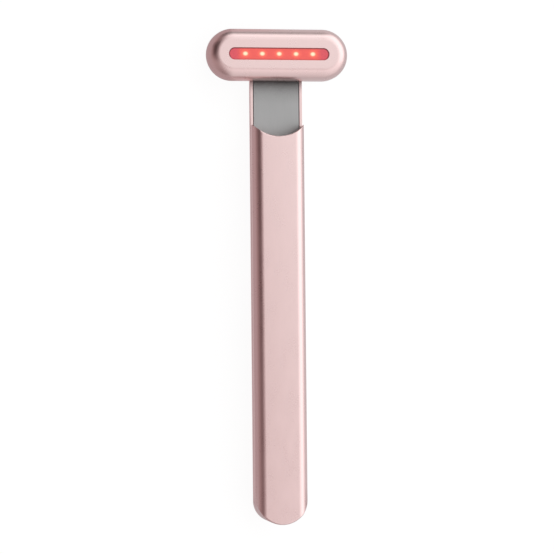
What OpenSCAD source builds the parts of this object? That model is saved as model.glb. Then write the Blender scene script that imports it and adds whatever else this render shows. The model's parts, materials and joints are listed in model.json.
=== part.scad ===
// Skincare wand: a slim handle with a crosswise light head on a quarter-turn swivel.
// It lies on its back: X runs across the handle, Y along it towards the head, Z up out of its front.
// The head is drawn crosswise, as in use. A quarter turn about the pivot stows it along the handle.

/* [Overall] */
// Length from the bottom end to the far edge of the crosswise head
overall_l = 168; // [160:1:180]
// Width of the handle
body_w = 18; // [17.6:0.2:19]
// Thickness of the handle from its back to its front
handle_t = 12.9; // [12.8:0.1:13.6]

/* [Handle shells] */
// Radius of the handle's two back edges
back_r = 5.5; // [5:0.1:5.8]
// Radius of the handle's two front edges
front_r = 3.55; // [3:0.05:4]
// Radius of the small edge round the handle's two ends
end_edge_r = 0.6; // [0.3:0.1:0.9]
// Wall of the rear shell, which shows as the rails beside the neck plate
shell_wall = 1; // [0.9:0.05:1.1]
// Wall of the front cover
cover_wall = 1.3; // [1.2:0.05:1.5]
// Height of the parting plane, level with the neck plate
split_z = 6.9; // [6.8:0.05:7.1]
// Width and depth of the shadow groove along the parting plane
seam = 0.25; // [0.15:0.05:0.4]
// Thickness of the front cover's locating lip
lip_t = 0.8; // [0.7:0.05:0.9]
// Depth to which the lip reaches below the parting plane
lip_d = 1.1; // [1:0.05:1.3]
// Clearance between the lip and the rear shell
lip_gap = 0.1; // [0.05:0.01:0.15]
// Depth of the scoop at the top of the front cover
scoop_d = 4; // [3.8:0.1:4.6]
// Chamfer along the rim of the scoop
rim_chamfer = 0.3; // [0.2:0.05:0.4]
// Length of each snap bead
bead_l = 6; // [4:0.5:8]
// Height of each snap bead
bead_h = 0.6; // [0.5:0.05:0.7]
// Depth by which a snap bead reaches into its groove
bead_d = 0.25; // [0.2:0.01:0.3]

/* [Head] */
// Length of the head
head_l = 48.4; // [46:0.1:50]
// Height of the head, across its length
head_w = 17.5; // [17:0.1:18]
// Thickness of the head
head_t = 6.55; // [6.5:0.05:7]
// Gap between the head's back and the neck plate
head_gap = 0.3; // [0.25:0.05:0.4]
// Radius of the head's front edge
head_r = 4.1; // [3.5:0.05:4.2]
// Wall of the head shell
head_wall = 1; // [0.9:0.05:1.1]
// Chamfer along the head's back edge
head_back_edge = 0.3; // [0.2:0.05:0.4]
// Thickness of the head's back cover
back_cover_t = 1.4; // [1.3:0.05:1.5]
// Clearance round the head's back cover
back_cover_gap = 0.1; // [0.05:0.01:0.15]
// Clearance between the turning head and the tips of the scoop
sweep_gap = 1.1; // [0.4:0.05:1.3]
// Turn of the head from crosswise to stowed, in degrees
swivel = 90; // [80:1:90]

/* [Light window] */
// Length of the light window
window_l = 34.5; // [33:0.5:35.5]
// Width of the light window
window_w = 4.1; // [3.8:0.1:4.3]
// Depth by which the window sits below the head's face
window_sink = 0.2; // [0.1:0.05:0.3]
// Width of the window's hidden flange
window_flange = 0.9; // [0.7:0.05:1]
// Thickness of the window's hidden flange
window_flange_t = 0.5; // [0.4:0.05:0.6]
// Clearance round the window in its slot
window_gap = 0.05; // [0.03:0.01:0.08]
// Thickness of the window's gasket
gasket_t = 0.2; // [0.15:0.05:0.25]
// Number of lamps
led_count = 5; // [3:1:5]
// Distance from lamp to lamp
led_pitch = 5.8; // [5.6:0.1:6]
// Side of a lamp package
led_w = 2.8; // [2.4:0.1:3]
// Height of a lamp package
led_h = 0.8; // [0.7:0.05:0.9]
// Thickness of the lamp board
led_board_t = 0.8; // [0.7:0.05:0.9]
// Width of the lamp board
led_board_w = 7; // [6.6:0.1:7.2]
// Length of the lamp board
led_board_l = 42; // [40:0.5:43]
// Thickness of the heater film
film_t = 0.2; // [0.15:0.05:0.25]

/* [Neck] */
// Gap between the neck plate and each rail
plate_gap = 0.2; // [0.15:0.05:0.35]
// Thickness of the neck plate
plate_t = 1; // [0.9:0.05:1.1]
// Thickness of the neck frame's deck
deck_t = 1; // [0.9:0.05:1.1]
// Length of the neck plate that is tucked under the front cover
plate_tuck = 4.9; // [4.6:0.1:5.4]

// Thickness of the ribs under the neck frame
rib_t = 1; // [0.8:0.1:1.2]
// Distance from rib to rib
rib_step = 4.5; // [4.2:0.1:4.8]

/* [Pivot] */
// Outer diameter of the pivot tube
pivot_d = 7; // [6.8:0.1:7.2]
// Bore of the pivot tube
pivot_bore = 4.4; // [4.2:0.1:4.6]
// Radial running clearance of the pivot tube in its bush
pivot_fit = 0.03; // [0.02:0.01:0.06]
// Diameter of the pivot tube's flange
pivot_flange_d = 15; // [14.8:0.1:15.2]
// Thickness of the pivot tube's flange
pivot_flange_t = 0.7; // [0.6:0.05:0.8]
// Outer diameter of the pivot bush
bush_d = 9; // [8.9:0.05:9.1]
// Diameter of the bush's flange
bush_flange_d = 10.2; // [10:0.05:10.4]
// Thickness of the bush's flange
bush_flange_t = 0.6; // [0.5:0.05:0.7]
// Length of the bush below the neck frame's deck
bush_drop = 1; // [0.9:0.05:1.1]
// Thickness of the thrust washer
washer_t = 0.3; // [0.25:0.05:0.35]
// Axial running clearance at each face of the thrust washer
washer_gap = 0.05; // [0.03:0.01:0.08]
// Thickness of the retaining ring
ring_t = 0.4; // [0.35:0.05:0.45]
// Depth of the retaining ring's groove
ring_groove = 0.4; // [0.3:0.05:0.5]
// Length of the pivot tube below the retaining ring
tube_tail = 0.25; // [0.2:0.05:0.3]

/* [Switch] */
// Radius of the cam where it holds the switch pressed
cam_r = 5.4; // [5.2:0.05:5.5]
// Drop of the cam over the head's turn, which is the plunger's travel
cam_drop = 0.6; // [0.5:0.05:0.7]
// Thickness of the cam
cam_t = 1; // [0.9:0.05:1.1]
// Gap between the cam and the plunger
cam_gap = 0.15; // [0.1:0.05:0.2]
// Width of the position switch
switch_w = 4.6; // [4.4:0.1:5]
// Length of the position switch
switch_l = 3.4; // [3.2:0.1:3.6]
// Height of the position switch
switch_h = 1.7; // [1.6:0.05:1.8]
// Length of the plunger outside the switch when it is pressed
plunger_out = 1; // [0.9:0.05:1.1]
// Width of the plunger
plunger_w = 1.2; // [1:0.1:1.4]
// Height of the plunger
plunger_h = 0.8; // [0.7:0.05:0.9]
// Clearance round the plunger in its slot
plunger_fit = 0.08; // [0.05:0.01:0.1]
// Thickness of the switch board
switch_board_t = 0.8; // [0.75:0.05:0.85]
// Radius of the detent spring's nose
detent_r = 0.5; // [0.4:0.05:0.6]
// Thickness of the detent spring's strip
detent_t = 0.25; // [0.2:0.05:0.3]

/* [Power] */
// Length of the battery cell
battery_l = 44.5; // [40:0.5:45]
// Width of the battery cell
battery_w = 13; // [12:0.1:13.4]
// Thickness of the battery cell
battery_t = 8; // [7.6:0.1:8.1]
// Thickness of the foam tape between the battery and the cover
tape_t = 0.7; // [0.6:0.05:0.9]
// Length of the main board
board_l = 48; // [44:0.5:50]
// Width of the main board
board_w = 13; // [12.6:0.1:13.4]
// Thickness of the main board
board_t = 1; // [0.9:0.05:1.1]
// Radius of an insulated lead
wire_r = 0.3; // [0.25:0.01:0.31]
// Clearance between the leads and the rear shell's floor
wire_gap = 0.05; // [0.03:0.01:0.06]

// Width of each foam pad under the battery
pad_w = 2.8; // [2.4:0.1:3]
// Distance from each end of the battery to its foam
pad_inset = 3; // [2:0.5:6]

/* [Board parts] */
// Side of the controller chip
controller_w = 5; // [4:0.5:5]
// Side of the charger chip and of the lamp driver
driver_w = 3; // [2:0.5:3]
// Thickness of the chips
chip_t = 0.9; // [0.6:0.05:1]
// Length of the clock crystal
crystal_l = 3.2; // [2.5:0.1:3.2]
// Width of the clock crystal
crystal_w = 1.8; // [1.2:0.1:2]
// Height of the clock crystal
crystal_h = 1.1; // [0.7:0.1:1.2]
// Side of the power inductor
inductor_w = 4; // [3:0.5:4]
// Height of the power inductor
inductor_h = 1.9; // [1.5:0.1:2]
// Length of the storage capacitor
capacitor_l = 2.5; // [2:0.1:3]
// Width of the storage capacitor
capacitor_w = 2; // [1.2:0.1:2]
// Length of a small resistor or capacitor
passive_l = 1.6; // [1:0.1:1.6]
// Width and height of a small resistor or capacitor
passive_w = 0.8; // [0.5:0.1:0.8]
// Distance from row to row of the parts on the main board
part_row = 5.5; // [5.5:0.1:5.8]
// Distance of the outer parts from the main board's middle
part_side = 3.6; // [3.4:0.1:3.8]

/* [Charging port] */
// Outer width of the charging socket
usb_w = 8.94; // [8.9:0.01:9]
// Outer height of the charging socket
usb_h = 3.16; // [3.1:0.01:3.26]
// Length of the charging socket
usb_l = 7.35; // [7:0.05:7.6]
// Wall of the charging socket
usb_wall = 0.3; // [0.25:0.01:0.32]
// Depth of the socket's mouth behind the bottom end
usb_recess = 2; // [1.8:0.1:2.2]
// Width of the tongue inside the socket
tongue_w = 6.69; // [6.6:0.01:6.8]
// Thickness of the tongue inside the socket
tongue_t = 0.7; // [0.65:0.01:0.75]
// Wall of the bezel round the socket
bezel_wall = 0.9; // [0.8:0.05:1]
// Length of the bezel
bezel_l = 3.4; // [3:0.1:3.6]
// Clearance round the socket and round the bezel
port_gap = 0.08; // [0.05:0.01:0.1]

/* [Motor] */
// Diameter of the vibration motor
motor_d = 6; // [5.8:0.1:6.1]
// Length of the vibration motor
motor_l = 11; // [10:0.1:11.5]
// Wall of the motor's can
motor_wall = 0.3; // [0.25:0.01:0.32]
// Diameter of the motor's shaft
shaft_d = 0.8; // [0.7:0.05:0.9]
// Radial running clearance of the shaft
shaft_fit = 0.03; // [0.02:0.01:0.05]
// Radius of the eccentric weight
weight_r = 2.6; // [2.4:0.1:2.7]
// Length of the eccentric weight
weight_l = 3; // [2.6:0.1:3.2]
// Thickness of the motor's rubber boot
boot_t = 0.5; // [0.4:0.05:0.6]
// Clearance between the turning and the still pieces of the motor
motor_gap = 0.3; // [0.25:0.01:0.32]

/* [Screws] */
// Shank diameter of the screws
screw_d = 1.6; // [1.5:0.05:1.7]
// Head diameter of the screws
screw_head_d = 2.6; // [2.5:0.05:2.8]
// Head height of the screws
screw_head_h = 0.75; // [0.7:0.05:0.8]
// Clearance round a screw's shank and head
screw_gap = 0.05; // [0.03:0.01:0.08]
// Wall of a screw boss
boss_wall = 0.7; // [0.6:0.05:0.8]
// Length of the cover screws below their heads
cover_screw_l = 5; // [4:0.1:5.2]
// Length of the board screws below their heads
board_screw_l = 4; // [3:0.1:4.2]
// Length of the head screws below their heads
head_screw_l = 3.4; // [2.8:0.1:3.6]
// Depth to which the head screws are sunk below the back cover
screw_sink = 0.15; // [0.1:0.05:0.2]
// Clearance at a head screw's tip
screw_tip = 0.4; // [0.2:0.1:0.5]

/* [Hidden] */
$fn = 64;

rose = [0.9, 0.79, 0.78];
plate_grey = [0.63, 0.63, 0.63];
steel = [0.72, 0.72, 0.73];
brass = [0.8, 0.66, 0.36];
window_red = [0.92, 0.37, 0.35];
lamp_yellow = [1, 0.93, 0.75];
white_plastic = [0.92, 0.92, 0.9];
black_plastic = [0.12, 0.12, 0.13];
rubber_grey = [0.3, 0.3, 0.32];
board_green = [0.1, 0.36, 0.22];
copper = [0.76, 0.45, 0.28];
film_amber = [0.8, 0.5, 0.15];
foil_silver = [0.78, 0.79, 0.81];

eps = 0.5;
half_w = body_w / 2;
end_y = -overall_l / 2;
end_cy = end_y + half_w;
neck_cy = -end_cy;
head_half = head_w / 2;
pivot_y = overall_l / 2 - head_half;
floor_z = shell_wall;
ceiling_z = handle_t - cover_wall;

head_z0 = split_z + head_gap;
head_z1 = head_z0 + head_t;
head_end_x = head_l / 2 - head_half;
sweep_r = head_l / 2 + sweep_gap;
horn_y = pivot_y - sqrt(sweep_r * sweep_r - half_w * half_w);
scoop_r = (half_w * half_w + scoop_d * scoop_d) / (2 * scoop_d);
scoop_y = horn_y - scoop_d;
scoop_cy = scoop_y + scoop_r;

lip_in = shell_wall + lip_gap;
bead_z = split_z - lip_d / 2;
bead_count = 4;
bead_first_y = end_cy + 12;
bead_last_y = scoop_y - 18;
bead_step = (bead_last_y - bead_first_y) / (bead_count - 1);

plate_in = shell_wall + plate_gap;
plate_z0 = split_z - plate_t;
plate_end_y = scoop_y - plate_tuck;
deck_z0 = plate_z0 - deck_t;
deck_in = plate_in + 0.2;

bush_z0 = deck_z0 - bush_drop;
washer_z0 = bush_z0 - washer_gap - washer_t;
cam_z0 = washer_z0 - washer_gap - cam_t;
ring_z0 = cam_z0 - ring_t;
tube_z0 = ring_z0 - tube_tail;
back_cover_z1 = head_z0 + back_cover_t;
flange_z1 = back_cover_z1 + pivot_flange_t;
pivot_r = pivot_d / 2;

// The cam goes on a little past both ends of the turn, so that the plunger's width stays on it.
cam_over = 0.12;
cam_low = cam_r - cam_drop * (1 + cam_over);
notch_gap = 0.1;
plunger_y1 = pivot_y - cam_r - cam_gap;
switch_y1 = plunger_y1 - plunger_out;
switch_y0 = switch_y1 - switch_l;
switch_z1 = deck_z0 - switch_board_t;
plunger_z = cam_z0 + cam_t / 2;
plunger_in = 1.6;
switch_board_y0 = switch_y0 - 4.6;
switch_board_w = 7.2;

port_z = handle_t / 2;
bezel_w = usb_w + 2 * (port_gap + bezel_wall);
bezel_h = usb_h + 2 * (port_gap + bezel_wall);
socket_y0 = end_y + usb_recess;
socket_y1 = socket_y0 + usb_l;
board_z1 = port_z - usb_h / 2;
board_z0 = board_z1 - board_t;
board_y0 = socket_y1 - 0.9;
board_y1 = board_y0 + board_l;
board_nose_y = socket_y0 + bezel_l - usb_recess + 1.1;
board_nose_w = 10.4;

wire_z = floor_z + wire_gap + wire_r;
wire_pitch = 2 * wire_r + wire_gap;
elbow_r = 1.04 * wire_r;
wire_turn_y = board_y1 + 1.1;
wire_plug_y = board_y1 - 0.7;
wire_plug_z = board_z1 + 0.8;
head_wire_x = [for (i = [-1.5:1:1.5]) i * wire_pitch];
switch_wire_x = 2 * wire_pitch + 0.65;
motor_wire_x = switch_wire_x + wire_pitch + 0.15;
wire_channel = motor_wire_x + wire_r + 0.3;

battery_z1 = ceiling_z - tape_t;
battery_z0 = battery_z1 - battery_t;
battery_y0 = wire_turn_y + 6.4;
battery_y1 = battery_y0 + battery_l;
guard_l = 3.4;
guard_t = 0.8;
guard_y1 = battery_y0 - 0.2;

motor_z = handle_t / 2 + 0.7;
motor_r = motor_d / 2;
weight_y1 = plate_end_y - 0.8;
weight_y0 = weight_y1 - weight_l;
motor_y1 = weight_y0 - 0.7;
motor_y0 = motor_y1 - motor_l;
end_cap_t = 1.2;
coil_t = 0.5;
coil_r = motor_r - motor_wall - motor_gap;
magnet_r = coil_r - coil_t - motor_gap;
coil_base_t = 0.5;
coil_y0 = motor_y0 + end_cap_t + motor_gap;
boot_y0 = motor_y0 + 1.5;
boot_y1 = motor_y1 - 1.5;
boot_r = motor_r + boot_t;

boss_r = screw_d / 2 + boss_wall + screw_gap;
hole_r = screw_d / 2 + screw_gap;
cover_screw_x = half_w - cover_wall - boss_r - 0.8;
cover_screw_y = plate_end_y + boss_r + 0.4;
plate_screw_x = (bush_d / 2 + half_w - plate_in) / 2;
plate_screw_head_d = 2.9;
board_screw_xy = [[-4.9, board_y0 + 6.5], [4.9, board_y0 + 6.5], [0, board_y1 - 10.5]];
head_screw_r = 5.9;
head_screw_a = [65, 115, 245, 295];
head_screw_z = head_z0 + screw_sink + screw_head_h;

window_z1 = head_z1 - window_sink;
head_inner_z = head_z1 - head_wall;
flange_top_z = head_inner_z - gasket_t;
flange_low_z = flange_top_z - window_flange_t;
led_board_z0 = flange_low_z - 0.55 - led_h - led_board_t;
led_z0 = led_board_z0 + led_board_t;
led_z1 = led_z0 + led_h;
well_r = 2.2;
well_flare = 0.4;
dome_r = 1.1;
dome_h = 0.4;
reflector_w = window_w + 2 * window_flange;
reflector_l = window_l + 2 * window_flange;
film_edge = 0.3;
film_end_x = led_board_l / 2 - 3;

// A profile drawn across the handle, run along it from y0 to y1
module along_y(y0, y1) {
    translate([0, y1, 0]) rotate([90, 0, 0]) linear_extrude(y1 - y0) children();
}

// The handle's cross section, drawn inset by a wall
module section(inset) {
    w = half_w - inset;
    back = back_r - inset;
    front = front_r - inset;
    top = handle_t - inset;
    mid = handle_t / 2;
    translate([-w, inset + back]) square([2 * w, top - front - inset - back]);
    translate([back - w, inset]) square([2 * (w - back), mid - inset]);
    translate([front - w, mid]) square([2 * (w - front), top - mid]);
    for (s = [-1, 1]) {
        translate([s * (w - back), inset + back]) circle(r = back);
        translate([s * (w - front), top - front]) circle(r = front);
    }
}

// A stadium outline about the origin, long along X
module stadium(l, w) {
    square([l - w, w], center = true);
    for (s = [-1, 1]) translate([s * (l - w) / 2, 0]) circle(d = w);
}

// The handle's outline seen from its front, inset by a wall
module handle_plan(inset) {
    rotate(90) stadium(overall_l - 2 * inset, body_w - 2 * inset);
}

// The space inside the handle's outline, inset by a wall, between two heights
module handle_space(inset, z0, z1) {
    intersection() {
        along_y(end_y, end_y + overall_l) section(inset);
        translate([0, 0, z0]) linear_extrude(z1 - z0) handle_plan(inset);
    }
}

// A round handle end with its small rounded edges, as a disc about the end's centre
module round_end() {
    rotate_extrude() {
        square([half_w - end_edge_r, handle_t]);
        translate([0, end_edge_r]) square([half_w, handle_t - 2 * end_edge_r]);
        for (z = [end_edge_r, handle_t - end_edge_r])
            translate([half_w - end_edge_r, z]) circle(r = end_edge_r);
    }
}

// The handle's full outer form, with its small-radius edges round both ends
module handle_form() {
    intersection() {
        along_y(end_y, end_y + overall_l) section(0);
        union() {
            translate([-body_w, end_cy, 0]) cube([2 * body_w, neck_cy - end_cy, handle_t]);
            for (y = [end_cy, neck_cy]) translate([0, y, 0]) round_end();
        }
    }
}

// Everything between two heights, for cutting
module slab(z0, z1) {
    translate([-body_w, -overall_l, z0]) cube([2 * body_w, 2 * overall_l, z1 - z0]);
}

// The opening for the charging port's bezel, with its clearance
module port_hole() {
    along_y(end_y - eps, end_y + bezel_l + port_gap) translate([0, port_z])
        stadium(bezel_w + 2 * port_gap, bezel_h + 2 * port_gap);
}

// The snap beads along both sides, or the grooves that take them when grow is more than 0
module snap_beads(grow) {
    x0 = half_w - lip_in;
    reach = bead_d + lip_gap + grow;
    for (i = [0:bead_count - 1], s = [0, 1]) mirror([s, 0, 0])
        translate([x0 - 0.2, bead_first_y + i * bead_step - bead_l / 2 - grow, bead_z - bead_h / 2 - grow])
            cube([reach + 0.2, bead_l + 2 * grow, bead_h + 2 * grow]);
}

// A rib across the rear shell's neck under the deck, open in the middle for the leads
module neck_rib(y, opening) {
    difference() {
        intersection() {
            handle_space(shell_wall / 2, floor_z / 2, deck_z0);
            translate([-body_w, y - rib_t / 2, 0]) cube([2 * body_w, rib_t, deck_z0]);
        }
        translate([-opening, y - rib_t, floor_z]) cube([2 * opening, 2 * rib_t, deck_z0]);
    }
}

module rear_shell() {
    color(rose) {
        difference() {
            intersection() {
                handle_form();
                slab(0, split_z);
            }
            handle_space(shell_wall, floor_z, split_z + eps);
            snap_beads(0.1);
            port_hole();
        }
        for (i = [0:2]) neck_rib(horn_y + (i - 2 / 3) * rib_step, wire_channel);
        for (s = [-1, 1]) neck_rib(pivot_y + s * rib_step / 2, cam_r + 0.9);
    }
}

// The hollow of the front cover, which stops a wall short of the scoop
module cover_hollow() {
    difference() {
        handle_space(cover_wall, split_z - eps, ceiling_z);
        translate([0, scoop_cy, 0]) cylinder(r = scoop_r + cover_wall, h = handle_t);
        translate([-body_w, scoop_cy, 0]) cube([2 * body_w, overall_l, handle_t]);
    }
}

// The lip inside the front cover's edge, which locates it in the rear shell
module cover_lip() {
    z0 = split_z - lip_d;
    difference() {
        handle_space(lip_in, z0, split_z + 1);
        handle_space(lip_in + lip_t, z0 - eps, split_z + 1 + eps);
        translate([-body_w, plate_end_y - 0.6, 0]) cube([2 * body_w, overall_l, handle_t]);
    }
    intersection() {
        snap_beads(0);
        handle_space(lip_in - bead_d - lip_gap, z0, split_z);
    }
}

// The shadow groove round the bottom edge of the front cover
module cover_seam() {
    difference() {
        slab(split_z - eps, split_z + seam);
        translate([0, 0, split_z - 2 * eps]) linear_extrude(seam + 4 * eps) handle_plan(seam);
    }
    translate([0, scoop_cy, split_z - eps]) cylinder(r = scoop_r + seam, h = seam + eps);
}

// A screw boss hanging from the front cover's ceiling
module cover_boss(x, y, z0) {
    difference() {
        translate([x, y, z0]) cylinder(r = boss_r, h = ceiling_z + 0.3 - z0);
        translate([x, y, z0 - eps]) cylinder(r = hole_r, h = ceiling_z - z0 - 0.4 + eps);
    }
}

module front_cover() {
    color(rose) {
        difference() {
            intersection() {
                handle_form();
                slab(split_z, handle_t + eps);
            }
            cover_hollow();
            cover_seam();
            translate([0, scoop_cy, 0]) cylinder(r = scoop_r, h = handle_t + eps);
            translate([0, scoop_cy, handle_t - rim_chamfer])
                cylinder(r1 = scoop_r, r2 = scoop_r + 2 * rim_chamfer, h = 2 * rim_chamfer);
            translate([-body_w, scoop_cy, 0]) cube([2 * body_w, overall_l, handle_t + eps]);
            port_hole();
        }
        difference() {
            cover_lip();
            port_hole();
        }
        for (s = [-1, 1]) cover_boss(s * cover_screw_x, cover_screw_y, split_z);
        for (p = board_screw_xy) cover_boss(p[0], p[1], board_z1);
        difference() {
            translate([-3, (boot_y0 + boot_y1) / 2 - 2, motor_z]) cube([6, 4, ceiling_z + 0.3 - motor_z]);
            along_y(boot_y0, boot_y1) translate([0, motor_z]) circle(r = boot_r);
            translate([-body_w, motor_y0, motor_z - eps]) cube([2 * body_w, motor_l, eps + boot_r * 0.6]);
        }
    }
}

// The neck plate's outline, inset from the handle's outline
module plate_plan(inset) {
    intersection() {
        handle_plan(inset);
        translate([-body_w, plate_end_y]) square([2 * body_w, overall_l]);
    }
}

module neck_plate() {
    color(plate_grey) difference() {
        translate([0, 0, plate_z0]) linear_extrude(plate_t) plate_plan(plate_in);
        translate([0, pivot_y, 0]) cylinder(d = bush_d + 2 * screw_gap, h = handle_t);
        for (s = [-1, 1]) {
            translate([s * cover_screw_x, cover_screw_y, 0]) cylinder(r = hole_r, h = handle_t);
            translate([s * plate_screw_x, pivot_y, 0]) cylinder(r = hole_r, h = handle_t);
            translate([s * plate_screw_x, pivot_y, split_z - screw_head_h])
                cylinder(d1 = screw_d + 2 * screw_gap, d2 = plate_screw_head_d + 2 * screw_gap,
                         h = screw_head_h);
        }
    }
}

module neck_frame() {
    detent_y = pivot_y + cam_low + detent_r + 0.05;
    color(rubber_grey) difference() {
        union() {
            translate([0, 0, deck_z0]) linear_extrude(deck_t) plate_plan(deck_in);
            translate([0, pivot_y, bush_z0 + 0.1]) cylinder(d = bush_d + 2.4, h = bush_drop);
            for (s = [-1, 1]) {
                translate([s * 4.2 - 0.5, detent_y - 0.6, cam_z0])
                    cube([1, 1.2 + detent_t, plate_z0 - 0.4 - cam_z0]);
                translate([s * (boot_r + 0.7) - 0.5, boot_y0, motor_z - boot_r + 0.4])
                    cube([1, plate_end_y + 0.3 - boot_y0, plate_z0 - motor_z + boot_r - 0.4]);
                translate([s * plate_screw_x, pivot_y, deck_z0 - 0.8]) cylinder(r = boss_r, h = 1);
            }
            translate([-boot_r - 1.2, boot_y0, motor_z - boot_r - 1])
                cube([2 * boot_r + 2.4, boot_y1 - boot_y0, plate_z0 - motor_z + boot_r + 1]);
        }
        along_y(boot_y0 - eps, boot_y1 + eps) translate([0, motor_z]) circle(r = boot_r);
        translate([0, pivot_y, 0]) {
            cylinder(d = bush_d + 2 * screw_gap, h = handle_t);
            translate([0, 0, plate_z0 - bush_flange_t])
                cylinder(d = bush_flange_d + 2 * screw_gap, h = bush_flange_t + eps);
        }
        for (s = [-1, 1]) {
            translate([s * cover_screw_x, cover_screw_y, 0]) cylinder(r = hole_r, h = handle_t);
            translate([s * plate_screw_x, pivot_y, 0]) cylinder(r = hole_r, h = handle_t);
        }
        translate([-6, detent_y - 0.02, cam_z0 - eps])
            cube([12, detent_t + 0.04, cam_t + 2 * eps]);
    }
}

// A pan head screw pointing up, with the underside of its head at the origin
module screw_up(length) {
    difference() {
        union() {
            translate([0, 0, -screw_head_h]) cylinder(d = screw_head_d, h = screw_head_h);
            cylinder(d = screw_d, h = length);
        }
        for (a = [0, 90]) rotate(a)
            translate([-0.8, -0.18, -screw_head_h - eps]) cube([1.6, 0.36, 0.4 + eps]);
    }
}

module plate_screws() {
    length = plate_t + deck_t + 0.6;
    color(steel) for (s = [-1, 1]) translate([s * plate_screw_x, pivot_y, split_z]) difference() {
        union() {
            translate([0, 0, -length]) cylinder(d = screw_d, h = length - screw_head_h / 2);
            translate([0, 0, -screw_head_h])
                cylinder(d1 = screw_d, d2 = plate_screw_head_d, h = screw_head_h);
        }
        for (a = [0, 90]) rotate(a) translate([-0.7, -0.16, -0.4]) cube([1.4, 0.32, 1]);
    }
}

module cover_screws() {
    color(steel) for (s = [-1, 1])
        translate([s * cover_screw_x, cover_screw_y, deck_z0]) screw_up(cover_screw_l);
}

module board_screws() {
    color(steel) for (p = board_screw_xy) translate([p[0], p[1], board_z0]) screw_up(board_screw_l);
}

module pivot_bush() {
    color(brass) translate([0, pivot_y, 0]) difference() {
        union() {
            translate([0, 0, bush_z0]) cylinder(d = bush_d, h = split_z - bush_z0);
            translate([0, 0, plate_z0 - bush_flange_t]) cylinder(d = bush_flange_d, h = bush_flange_t);
        }
        cylinder(r = pivot_r + pivot_fit, h = handle_t);
    }
}

module thrust_washer() {
    color(steel) translate([0, pivot_y, washer_z0]) difference() {
        cylinder(d = bush_d, h = washer_t);
        translate([0, 0, -eps]) cylinder(r = pivot_r + 0.1, h = washer_t + 2 * eps);
    }
}

module slip_washer() {
    color(white_plastic) translate([0, pivot_y, split_z + washer_gap]) difference() {
        cylinder(d = bush_d, h = head_gap - washer_gap);
        translate([0, 0, -eps]) cylinder(r = pivot_r, h = head_gap + 2 * eps);
    }
}

module detent_spring() {
    color(steel) translate([0, pivot_y + cam_low, cam_z0 + 0.1 * cam_t]) linear_extrude(0.8 * cam_t) {
        translate([0, detent_r / 2]) circle(r = detent_r);
        translate([-4.7, detent_r + 0.05]) square([9.4, detent_t]);
    }
}

module position_switch() {
    slot_w = plunger_w + 2 * plunger_fit;
    slot_h = plunger_h + 2 * plunger_fit;
    color(black_plastic) difference() {
        translate([-switch_w / 2, switch_y0, switch_z1 - switch_h]) cube([switch_w, switch_l, switch_h]);
        translate([-slot_w / 2, switch_y1 - plunger_in - plunger_fit, plunger_z - slot_h / 2])
            cube([slot_w, plunger_in + 1, slot_h]);
    }
}

module switch_plunger() {
    color(white_plastic) translate([0, 0, plunger_z - plunger_h / 2]) linear_extrude(plunger_h) {
        translate([-plunger_w / 2, switch_y1 - plunger_in])
            square([plunger_w, plunger_in + plunger_out - plunger_w / 2]);
        translate([0, plunger_y1 - plunger_w / 2]) circle(d = plunger_w);
    }
}

module switch_board() {
    color(board_green)
        translate([-switch_board_w / 2, switch_board_y0, switch_z1])
            cube([switch_board_w, switch_y1 + 0.4 - switch_board_y0, switch_board_t]);
}

// The radius of the cam at an angle, which falls evenly over the turn that the plunger follows
function cam_at(a) =
    a < 270 - swivel - 25 || a > 300 ? cam_low
    : cam_r - cam_drop * min(max((270 - a) / swivel, -cam_over), 1 + cam_over);

module switch_cam() {
    color(white_plastic) translate([0, pivot_y, cam_z0]) difference() {
        linear_extrude(cam_t) polygon([for (a = [0:5:355]) cam_at(a) * [cos(a), sin(a)]]);
        translate([0, 0, -eps]) cylinder(r = pivot_r, h = cam_t + 2 * eps);
        for (a = [90, 90 - swivel]) rotate(a) translate([cam_low + detent_r / 2, 0, -eps])
            cylinder(r = detent_r + notch_gap, h = cam_t + 2 * eps);
    }
}

module retaining_ring() {
    color(steel) translate([0, pivot_y, ring_z0]) difference() {
        cylinder(r = pivot_r + 1.1, h = ring_t);
        translate([0, 0, -eps]) cylinder(r = pivot_r - ring_groove, h = ring_t + 2 * eps);
        rotate(45) translate([0, -1.2, -eps]) cube([body_w, 2.4, ring_t + 2 * eps]);
    }
}

module pivot_tube() {
    color(steel) translate([0, pivot_y, 0]) difference() {
        union() {
            translate([0, 0, tube_z0]) cylinder(r = pivot_r, h = flange_z1 - tube_z0);
            translate([0, 0, back_cover_z1]) cylinder(d = pivot_flange_d, h = pivot_flange_t);
        }
        cylinder(d = pivot_bore, h = flange_z1 + eps);
        translate([0, 0, ring_z0]) difference() {
            cylinder(r = pivot_r + eps, h = ring_t);
            cylinder(r = pivot_r - ring_groove, h = ring_t);
        }
        for (a = head_screw_a) rotate(a) translate([head_screw_r, 0, 0])
            cylinder(r = hole_r, h = flange_z1 + eps);
    }
}

// A straight or bent run of insulated lead through a list of points
module lead(points) {
    for (i = [1:len(points) - 1]) {
        run = points[i] - points[i - 1];
        flat = norm([run[0], run[1]]);
        translate(points[i - 1]) rotate([0, atan2(flat, run[2]), atan2(run[1], run[0])])
            cylinder(r = wire_r, h = norm(run));
        if (i < len(points) - 1) translate(points[i]) sphere(r = elbow_r);
    }
}

// The end of a lead's run: along the floor, up past the board's end and into its connector
function to_plug(x) = [
    [x, wire_turn_y, wire_z], [x, wire_turn_y, wire_plug_z], [x, wire_plug_y, wire_plug_z]
];

module neck_leads() {
    color(film_amber) for (x = head_wire_x)
        lead(concat([[x, pivot_y, tube_z0 + 0.4], [x, pivot_y, wire_z]], to_plug(x)));
}

module head_leads() {
    z0 = tube_z0 + 0.5;
    color(film_amber) for (x = head_wire_x) lead([[x, pivot_y, z0], [x, pivot_y, led_board_z0]]);
}

module switch_leads() {
    y = switch_board_y0 + 1;
    color([0.15, 0.15, 0.5]) for (s = [-1, 1]) {
        x = s * switch_wire_x;
        lead(concat([[x, y, switch_z1], [x, y, wire_z]], to_plug(x)));
    }
}

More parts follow.
